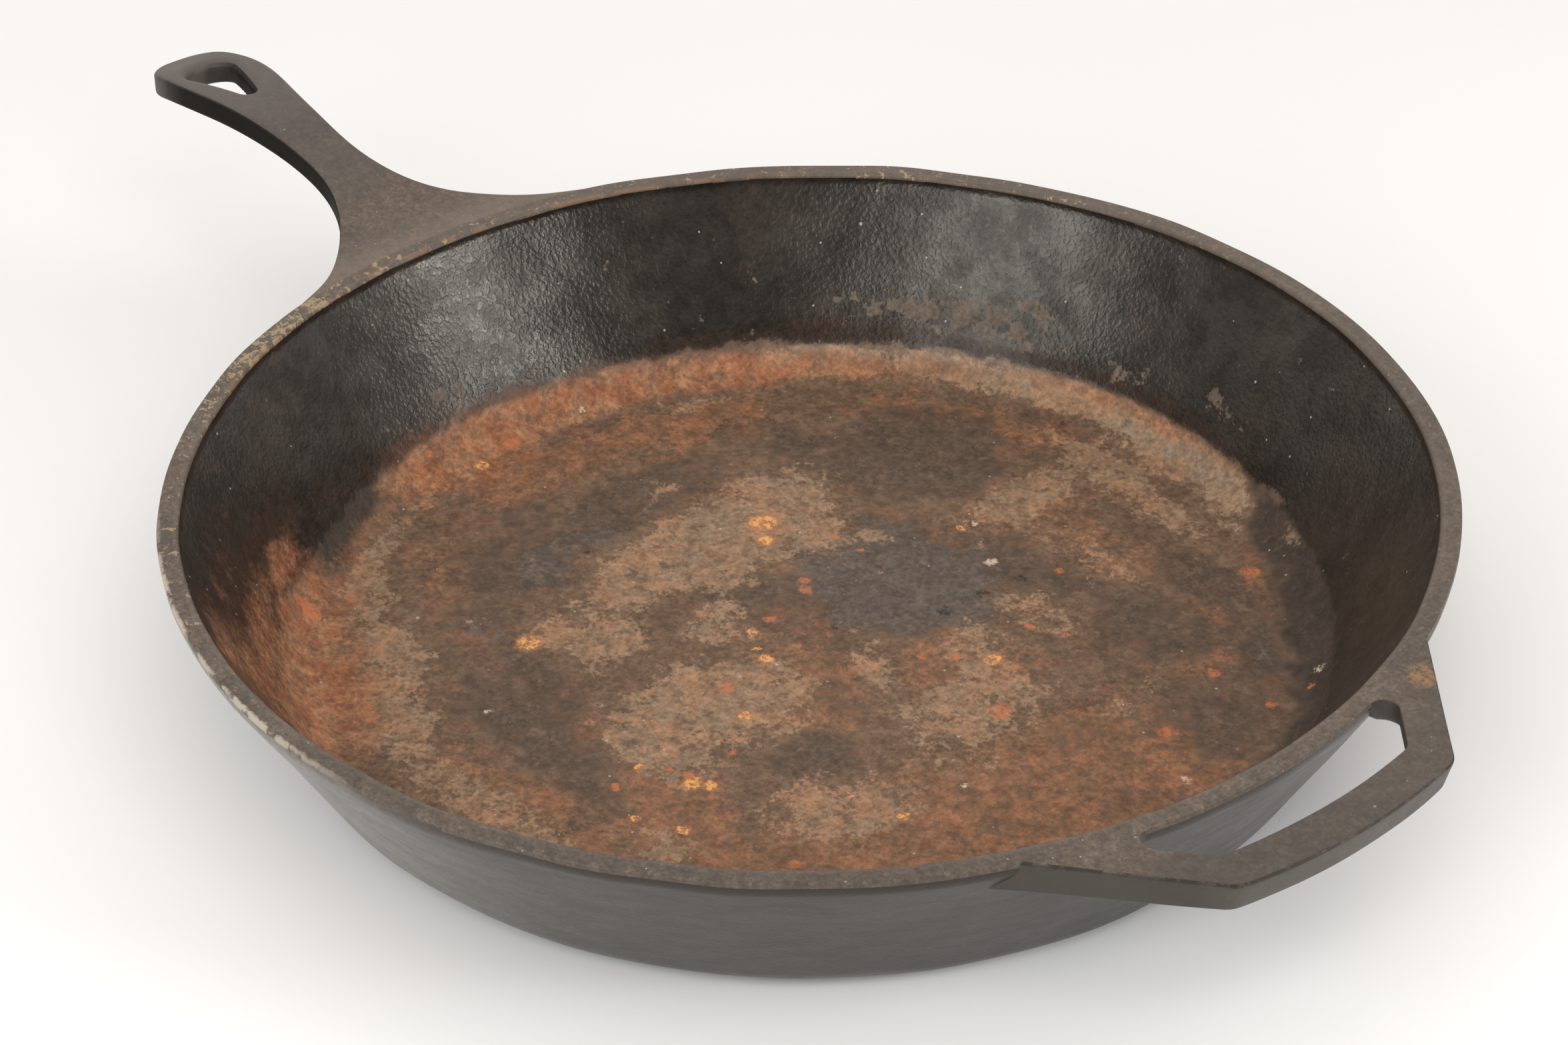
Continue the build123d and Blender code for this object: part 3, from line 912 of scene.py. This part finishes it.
# Spots of fresh rust and bare iron on the floor: (x, y, radius).
YELLOW_SPOTS = [
    (-48, 24, 3.6), (-41, 19, 2.2), (-45, -56, 3.2), (15, -34, 1.9), (0, -15, 1.8), (-11, -10, 1.5),
    (28, -61, 2.6), (32, -58, 1.8), (38, 28, 2.2), (41, -74, 1.8), (-120, -16, 1.9), (15, -67, 1.4),
    (30, -80, 1.2), (-12, 62, 1.4), (71, -31, 1.4), (57, -36, 1.2), (-5, -14, 1.0),
]
ORANGE_SPOTS = [
    (53, 105, 2.6), (25, 16, 1.4), (31, 22, 1.0), (44, 30, 1.0), (33, 45, 1.2), (42, 49, 0.9),
    (-17, 12, 1.7), (-20, 15, 1.3), (-13, -3, 1.4), (25, -46, 1.1), (16, -57, 0.9), (20, -62, 0.9),
    (25, -60, 1.2), (20, 68, 1.1), (17, -76, 1.2), (97, 67, 1.6), (55, 15, 2.6), (-123, -4, 2.3),
    (-31, 34, 1.2), (3, -30, 2.2), (78, 66, 1.7), (88, 40, 2.2), (68, -62, 1.2), (-22, 35, 1.0),
    (-90, -92, 2.9), (100, 78, 1.0),
]
PALE_SPOTS = [
    (-123.5, 21, 1.0), (5, 57, 1.6), (-11, 66, 1.0), (97, 84, 1.4), (72, -12, 1.0), (-28, -81, 1.0),
    (105, 30, 1.2),
]
DARK_SPOTS = [
    (-31, 117, 1.6), (14, 34, 2.0), (15, 58, 1.8), (-68, -19, 1.6), (14, 46, 1.6), (1, 7, 1.2),
]


def inside_look():
    g = Graph("seasoned iron, inside")
    tan, rust, dark, brown = g.channels("stain")
    blue, red, wall, shade = g.channels("tone")
    big, middle, small = g.noise(26, 4, 0.6), g.noise(8, 5, 0.7), g.noise(2.6, 5, 0.75)
    grain, fine = g.noise(1.25, 2, 0.5), g.noise(0.5, 1, 0.5)
    other = g.noise(13, 5, 0.7, moved=(310.0, 70.0, 20.0))
    swing = g.swing(g.noise(12, 9, 0.8), 3.0)
    islands = g.noise(5.0, 6, 0.72, moved=(30.0, 170.0, 60.0))

    def ragged(mask, low, high, reach=1.0):
        return g.step(g.add(mask, g.times(swing, reach)), low, high)

    # seasoned floor
    g.colour = g.mix(g.step(big, 0.4, 0.6), (0.104, 0.063, 0.040), (0.130, 0.082, 0.052))
    g.paint(g.times(g.step(other, 0.5, 0.64), 0.65), (0.16, 0.068, 0.038))
    g.paint(g.times(g.step(islands, 0.54, 0.60), 0.4), (0.17, 0.108, 0.070))
    # orange brown
    brown_colour = g.mix(g.step(other, 0.42, 0.6), (0.17, 0.088, 0.047), (0.25, 0.108, 0.052))
    brown_colour = g.mix(g.times(g.step(islands, 0.5, 0.58), 0.7), brown_colour, (0.115, 0.068, 0.043))
    g.paint(g.times(ragged(brown, 0.3, 0.7), 0.85), brown_colour)
    # seasoning that is still whole
    dark_colour = g.mix(ragged(blue, 0.35, 0.6, 0.5), (0.080, 0.054, 0.038), (0.084, 0.068, 0.057))
    dark_colour = g.mix(g.times(g.step(islands, 0.57, 0.62), 0.4), dark_colour, (0.17, 0.118, 0.08))
    g.paint(g.times(ragged(dark, 0.42, 0.58), 0.9), dark_colour)
    # seasoning worn to tan
    tan_colour = g.mix(g.step(other, 0.4, 0.62), (0.225, 0.152, 0.098), (0.285, 0.152, 0.082))
    tan_colour = g.mix(g.step(small, 0.52, 0.64), tan_colour, (0.27, 0.185, 0.122))
    tan_colour = g.mix(g.times(g.step(islands, 0.47, 0.41), 0.75), tan_colour, (0.12, 0.079, 0.052))
    g.paint(g.times(ragged(tan, 0.05, 0.6, 0.6), 0.4), (0.165, 0.102, 0.062))
    g.paint(g.times(ragged(tan, 0.43, 0.60), 0.8), tan_colour)
    # black seasoning that reaches down from the wall over the corner and the floor's edge
    g.paint(g.times(ragged(shade, 0.35, 0.8, 0.6), 0.85), (0.027, 0.0215, 0.018))
    # wall above the corner
    wall_colour = g.mix(g.step(big, 0.4, 0.62), (0.009, 0.0075, 0.006), (0.019, 0.0145, 0.0112))
    wall_colour = g.mix(g.step(g.x, 40.0, 130.0, 0.0, 0.75), wall_colour, (0.028, 0.0215, 0.0165))
    wall_colour = g.mix(g.times(ragged(red, 0.3, 0.8, 0.7), 0.85), wall_colour, (0.028, 0.016, 0.0115))
    high = ragged(wall, 0.59, 0.71, 0.32)
    g.paint(high, wall_colour)
    wall_wear = g.times(high, g.step(g.add(tan, g.swing(islands, 3.2)), 0.5, 0.62))
    g.paint(g.times(wall_wear, 0.75), (0.125, 0.092, 0.067))
    # tan and rust of the rounded corner
    not_high = g.less(1.0, high)
    tan_on_ring = g.times(ragged(tan, 0.42, 0.7, 0.7), g.step(wall, 0.02, 0.12), not_high)
    ring_colour = g.mix(g.step(other, 0.42, 0.58), (0.225, 0.160, 0.110), (0.27, 0.158, 0.088))
    ring_colour = g.mix(g.times(g.step(small, 0.5, 0.62), 0.5), ring_colour, (0.16, 0.095, 0.06))
    g.paint(g.times(tan_on_ring, 0.85), ring_colour)
    rust_colour = g.mix(g.step(middle, 0.42, 0.6), (0.25, 0.093, 0.045), (0.29, 0.145, 0.075))
    rust_colour = g.mix(g.times(g.step(islands, 0.48, 0.60), 0.75), rust_colour, (0.14, 0.074, 0.045))
    rust_colour = g.mix(g.times(g.step(small, 0.55, 0.66), 0.55), rust_colour, (0.38, 0.16, 0.07))
    rusty = ragged(rust, 0.1, 0.95, 0.6)
    rust_low = g.times(rusty, g.less(1.0, g.times(high, g.step(g.y, -75.0, -55.0, 0.1, 0.62))))
    g.paint(g.times(rust_low, 0.92), rust_colour)
    g.grit(0.26)
    # fresh spots, broken up, each in a faint orange halo
    near = g.wobble(2.2, 2.4)
    only_floor = g.step(g.z, 20.0, 16.0)
    broken = g.step(g.noise(1.7, 4, 0.8, moved=(9.0, 1.0, 4.0)), 0.45, 0.53)
    orange = g.times(g.spots(near, ORANGE_SPOTS), only_floor)
    g.paint(g.times(orange, g.add(g.times(broken, 0.6), 0.25)), (0.44, 0.135, 0.05))
    yellow = g.times(g.spots(near, YELLOW_SPOTS, 0.55), only_floor)
    g.paint(g.times(g.step(yellow, 0.0, 0.5), 0.5), (0.34, 0.15, 0.065))
    g.paint(g.times(g.step(yellow, 0.4, 0.8), g.times(broken, 0.95)), (0.66, 0.31, 0.10))
    pale = g.times(g.spots(near, PALE_SPOTS), only_floor)
    g.paint(g.times(pale, g.times(broken, 0.85)), (0.55, 0.43, 0.32))
    pits = g.times(g.spots(near, DARK_SPOTS), only_floor)
    g.paint(g.times(pits, g.times(broken, 0.8)), (0.018, 0.013, 0.01))
    # flecks of dust and small pits
    dust = g.most(g.flecks(5.5, 0.34, 0.4), g.flecks(15.0, 0.5, 0.35))
    g.paint(g.times(dust, 0.6), (0.5, 0.45, 0.4))
    holes = g.flecks(4.3, 0.32, 0.35, moved=(40.0, 9.0, 3.0))
    g.paint(g.times(holes, 0.55), (0.02, 0.016, 0.012))
    orange_dots = g.flecks(9.0, 0.5, 0.35, place=g.shift(near, (5.0, 77.0, 13.0)))
    g.paint(g.times(orange_dots, 0.75, not_high), (0.38, 0.15, 0.07))

    # the wall is smoother and shinier than the floor, where it isn't worn
    rough = g.add(g.step(wall, 0.3, 0.8, 0.64, 0.33), g.swing(middle, 0.25))
    rough = g.add(rough, g.times(g.add(rusty, wall_wear), 0.15))
    rough = g.add(rough, g.swing(grain, 0.2))
    dull = g.times(high, g.most(g.times(red, 0.6), g.times(tan, 0.55)))
    shine = g.times(g.step(wall, 0.3, 0.8, 0.33, 0.62), g.less(1.0, dull))
    shine = g.times(shine, g.step(other, 0.38, 0.62, 0.74, 1.26))
    pebbles = g.times(g.step(grain, 0.3, 0.7), g.step(wall, 0.2, 0.8, 0.5, 1.0))
    return g.finish(rough, g.add(pebbles, g.times(fine, 0.15)), 0.06, shine)


def iron_top(g):
    """Colour of the flat, worn iron of the rim's top and the handles."""
    big, middle, small = g.noise(34, 4, 0.55), g.noise(9, 5, 0.65), g.noise(2.2, 5, 0.75)
    g.colour = g.mix(g.step(big, 0.4, 0.62), (0.062, 0.048, 0.038), (0.084, 0.063, 0.048))
    g.paint(g.times(g.step(middle, 0.46, 0.66), 0.45), (0.070, 0.060, 0.050))
    g.paint(g.times(g.step(small, 0.52, 0.7), 0.45), (0.16, 0.125, 0.094))
    g.grit(0.3, 1.2)
    light = g.most(g.flecks(3.4, 0.24, 0.45), g.flecks(9.0, 0.42, 0.35))
    g.paint(g.times(light, 0.6), (0.5, 0.43, 0.33))
    large = g.flecks(11.0, 0.5, 0.4, moved=(21.0, 5.0, 2.0))
    holes = g.most(large, g.flecks(3.1, 0.26, 0.4, moved=(2.0, 8.0, 31.0)))
    g.paint(g.times(holes, 0.7), (0.015, 0.012, 0.01))
    return middle, small, holes


def edge_look():
    g = Graph("worn iron, rim top")
    middle, small, holes = iron_top(g)
    swing = g.swing(small, 2.2)
    # the outer edge, worn to bare iron along the front left, with cream chips
    away = g.add(g.radius, swing)
    outer_edge = g.step(away, RIM_RADIUS - 1.1, RIM_RADIUS - 0.2)
    front_left = g.step(g.distance(g.place, (-35.0, -156.0, 54.0)), 75.0, 30.0)
    bare = g.times(outer_edge, front_left, g.step(middle, 0.42, 0.52))
    g.paint(g.times(bare, 0.85), (0.42, 0.36, 0.29))
    # painted reflection: the rim's top paler towards the far side, away from the camera
    g.paint(g.step(g.less(g.x, g.y), 40.0, -220.0, 0.0, 0.35), (0.12, 0.095, 0.075))
    # painted highlight: the rim's rolled inner edge a little paler
    inner_edge_highlight = g.step(away, RIM_INNER + 2.1, RIM_INNER + 1.1)
    g.paint(g.times(inner_edge_highlight, 0.15), (0.16, 0.135, 0.115))
    most_chipped = g.step(g.distance(g.place, (-148.0, -58.0, 54.0)), 50.0, 10.0, 0.0, 0.09)
    chipped = g.add(g.noise(2.6, 4, 0.8, moved=(3.0, 90.0, 0.0)), most_chipped)
    chips = g.times(g.step(chipped, 0.59, 0.63), g.step(g.x, 20.0, -60.0))
    g.paint(g.times(chips, 0.7), (0.36, 0.27, 0.15))
    rust_in = g.times(g.step(away, RIM_INNER + 1.6, RIM_INNER + 0.4), g.step(g.x, -110.0, -140.0))
    g.paint(g.times(rust_in, g.step(middle, 0.5, 0.58), 0.5), (0.24, 0.13, 0.07))
    rough = g.add(0.52, g.swing(middle, 0.3))
    height = g.less(g.times(g.noise(0.9, 2, 0.6), 0.6), holes)
    return g.finish(rough, height, 0.06)


def outside_look():
    g = Graph("seasoned iron, outside")
    # streaks that run round the wall
    turn = g.times(g.math("ARCTAN2", g.y, g.x), RIM_RADIUS)
    rolled = g.join(g.times(turn, 0.28), g.z, g.times(g.radius, 0.5))
    big, middle = g.noise(30, 4, 0.6), g.noise(7, 5, 0.7)
    streak, grain = g.noise(4.0, 5, 0.7, place=rolled), g.noise(1.0, 3, 0.6)
    g.colour = g.mix(g.step(big, 0.38, 0.62), (0.022, 0.0172, 0.0140), (0.034, 0.0265, 0.0215))
    g.paint(g.times(g.step(streak, 0.45, 0.7), 0.5), (0.052, 0.041, 0.034))
    # painted highlight: paler along the left side, which faces the left lamp
    left_highlight = g.times(g.step(g.x, 100.0, -40.0), g.step(g.y, -40.0, -100.0))
    g.paint(g.times(left_highlight, 0.9), (0.19, 0.167, 0.151))
    # painted shade: darker towards the right side, turned away from the left lamp
    g.paint(g.step(g.x, 0.0, 120.0, 0.0, 0.75), (0.012, 0.0095, 0.0075))
    g.grit(0.25)
    # painted shade: the top of the outside wall darker up to the rim, most on the right
    rim_top_shade = g.step(g.add(g.z, g.swing(middle, 2.5)), 44.0, 46.5)
    g.paint(g.times(rim_top_shade, g.step(g.x, 20.0, 90.0, 0.15, 0.85)), (0.012, 0.0095, 0.008))
    top_edge = g.step(g.add(g.z, g.swing(grain, 3.0)), 52.9, 53.9)
    front = g.step(g.y, -60.0, -120.0)
    g.paint(g.times(top_edge, front, 0.4), (0.35, 0.30, 0.25))
    light = g.flecks(5.0, 0.3, 0.3)
    g.paint(g.times(light, 0.35), (0.4, 0.36, 0.32))
    low = g.step(g.z, 6.0, 0.0)
    g.paint(g.times(low, g.step(middle, 0.45, 0.6)), (0.07, 0.052, 0.042))
    rough = g.add(0.32, g.swing(streak, 0.3))
    height = g.add(g.times(g.step(grain, 0.3, 0.7), 0.5), g.times(streak, 0.6))
    return g.finish(rough, height, 0.05, g.step(g.x, -60.0, 80.0, 0.75, 0.5))


def handle_look():
    g = Graph("worn iron, handles")
    middle, small, holes = iron_top(g)
    up = g.split(g.node("ShaderNodeNewGeometry").outputs["True Normal"])
    swing = g.swing(middle, 0.9)
    # rust speckle where the main handle leaves the rim
    near_root = g.step(g.add(g.radius, g.times(swing, 10.0)), 176.0, 158.0)
    on_left = g.step(g.x, -90.0, -140.0)
    g.paint(g.step(g.x, -180.0, -198.0, 0.0, 0.5), (0.054, 0.049, 0.045))
    g.paint(g.step(g.x, -215.0, -255.0, 0.0, 0.6), (0.092, 0.079, 0.073))
    g.paint(g.step(g.x, 158.0, 172.0, 0.0, 0.45), (0.040, 0.036, 0.031))
    speckle = g.times(near_root, on_left, g.step(g.noise(1.6, 4, 0.8), 0.55, 0.68))
    g.paint(g.times(speckle, 0.6), (0.27, 0.16, 0.085))
    g.paint(g.times(near_root, on_left, 0.5), (0.17, 0.132, 0.098))
    # brown rust beside the helper handle's far root
    spot = g.spots(g.wobble(2.0, 2.5), [(157.0, 52.0, 4.2)])
    g.paint(g.times(spot, g.step(small, 0.4, 0.55), 0.8), (0.25, 0.13, 0.055))
    # the sides: thick black seasoning on the near side of the main handle
    facing = g.add(up[1], g.times(swing, 0.8))
    side = g.step(g.math("ABSOLUTE", up[2]), 0.72, 0.5)
    black = g.times(side, g.step(facing, -0.15, -0.45), g.step(g.x, -120.0, -150.0))
    black = g.times(black, g.step(g.add(g.x, g.times(swing, 12.0)), -286.0, -262.0, 0.25, 1.0))
    g.paint(g.times(black, 0.95), (0.006, 0.0055, 0.0045))
    g.paint(g.times(side, 0.5, g.step(g.x, -50.0, 50.0)), (0.062, 0.056, 0.05))
    # the helper handle's near ear is as dark as the wall beside it
    near_ear = g.times(side, g.step(g.x, 186.0, 174.0), g.step(g.x, 100.0, 120.0))
    g.paint(g.times(near_ear, 0.85), (0.030, 0.026, 0.023))
    rough = g.add(0.52, g.swing(middle, 0.3))
    height = g.less(g.times(g.noise(0.9, 3, 0.6), 0.5), holes)
    # a dark line of old seasoning along the helper handle's outer top edge
    ear = g.add(g.times(g.x, 0.631), g.times(g.math("ABSOLUTE", g.y), 0.775))
    beyond = g.most(g.less(g.x, 184.0), g.less(ear, 142.1))
    line = g.times(g.step(beyond, -4.0, -2.5), g.step(g.add(g.z, swing), 52.8, 53.4))
    line = g.times(line, g.step(up[2], 0.97, 0.85), g.step(g.x, 100.0, 120.0))
    broken = g.step(g.noise(4.0, 4, 0.7), 0.40, 0.52, 0.25, 0.9)
    g.paint(g.times(line, broken), (0.008, 0.007, 0.006))
    shine = g.step(black, 0.0, 1.0, 0.5, 0.08)
    rough = g.add(rough, g.times(black, 0.15))
    return g.finish(rough, height, 0.06, shine)


def paper_look():
    g = Graph("white paper")
    tone = g.noise(400, 3, 0.5)
    g.colour = g.mix(g.step(tone, 0.35, 0.65), (0.782, 0.784, 0.782), (0.794, 0.796, 0.794))
    return g.finish(0.8, g.noise(1.5, 2, 0.6), 0.02, 0.1)


# ---- the casting -----------------------------------------------------------------------------
interior, outside, edge, handle = inside_look(), outside_look(), edge_look(), handle_look()
bowl_pieces(interior, outside, edge)
main_handle_piece([handle])
helper_handle_piece([handle])

# ---- stage -----------------------------------------------------------------------------------
floor_mesh = bpy.data.meshes.new("floor")
signs = ((-1, -1), (1, -1), (1, 1), (-1, 1))
corners = [(x * STAGE_HALF, y * STAGE_HALF, STAGE_LEVEL) for x, y in signs]
floor_mesh.from_pydata(corners, [], [(0, 1, 2, 3)])
floor_mesh.materials.append(paper_look())
floor = bpy.data.objects.new("floor", floor_mesh)
bpy.context.scene.collection.objects.link(floor)

# A pale studio: bright above and beyond the pan, darker behind the camera.
world = bpy.data.worlds.new("studio")
bpy.context.scene.world = world
world.use_nodes = True
nodes, links = world.node_tree.nodes, world.node_tree.links
background = nodes["Background"]
way = nodes.new("ShaderNodeTexCoord").outputs["Generated"]


def world_ramp(value, low, high, start, end):
    made = nodes.new("ShaderNodeMapRange")
    made.interpolation_type = "SMOOTHSTEP"
    links.new(value, made.inputs[0])
    for i, v in enumerate((low, high, start, end)):
        made.inputs[i + 1].default_value = v
    return made.outputs[0]


towards_camera = nodes.new("ShaderNodeVectorMath")
towards_camera.operation = "DOT_PRODUCT"
links.new(way, towards_camera.inputs[0])
towards_camera.inputs[1].default_value = (math.sin(CAMERA_TURN), -math.cos(CAMERA_TURN), 0.0)
apart = nodes.new("ShaderNodeSeparateXYZ")
links.new(way, apart.inputs[0])
around = world_ramp(towards_camera.outputs["Value"], *WORLD_AROUND, WORLD_FAR, WORLD_NEAR)
above = world_ramp(apart.outputs[2], *WORLD_ABOVE, 0.0, WORLD_TOP)
total = nodes.new("ShaderNodeMath")
total.operation = "ADD"
links.new(around, total.inputs[0])
links.new(above, total.inputs[1])
links.new(total.outputs[0], background.inputs["Strength"])
background.inputs["Color"].default_value = WORLD_COLOUR
bpy.context.scene.view_settings.view_transform = "Standard"

for name, direction, size, power, colour, mirrored in LAMPS:
    light = bpy.data.lights.new(name, "AREA")
    light.shape = "SQUARE"
    light.size = size
    light.energy = power
    light.color = colour
    lamp = bpy.data.objects.new(name, light)
    direction = Vector(direction).normalized()
    lamp.location = direction * LAMP_DISTANCE
    lamp.rotation_euler = direction.to_track_quat("Z", "Y").to_euler()
    lamp.visible_camera = False
    lamp.visible_glossy = mirrored
    bpy.context.scene.collection.objects.link(lamp)

# the camera looks at the middle of the rim's plane, then is turned a little about its own axes
aim = Vector((0, 0, PAN_HEIGHT * MM))
away = Vector((
    math.sin(CAMERA_TURN) * math.cos(CAMERA_DOWN),
    -math.cos(CAMERA_TURN) * math.cos(CAMERA_DOWN),
    math.sin(CAMERA_DOWN),
))
right = Vector((0, 0, 1)).cross(away).normalized()
facing = Matrix((right, away.cross(right), away)).transposed()
for angle, axis in ((CAMERA_YAW, "Y"), (CAMERA_PITCH, "X"), (-CAMERA_ROLL, "Z")):
    facing = facing @ Matrix.Rotation(angle, 3, axis)
camera_data = bpy.data.cameras.new("camera")
camera_data.lens = LENS
camera_data.sensor_width = SENSOR
camera_data.sensor_fit = "HORIZONTAL"
camera = bpy.data.objects.new("camera", camera_data)
camera.matrix_world = Matrix.Translation(aim + away * CAMERA_DISTANCE) @ facing.to_4x4()
bpy.context.scene.collection.objects.link(camera)
bpy.context.scene.camera = camera
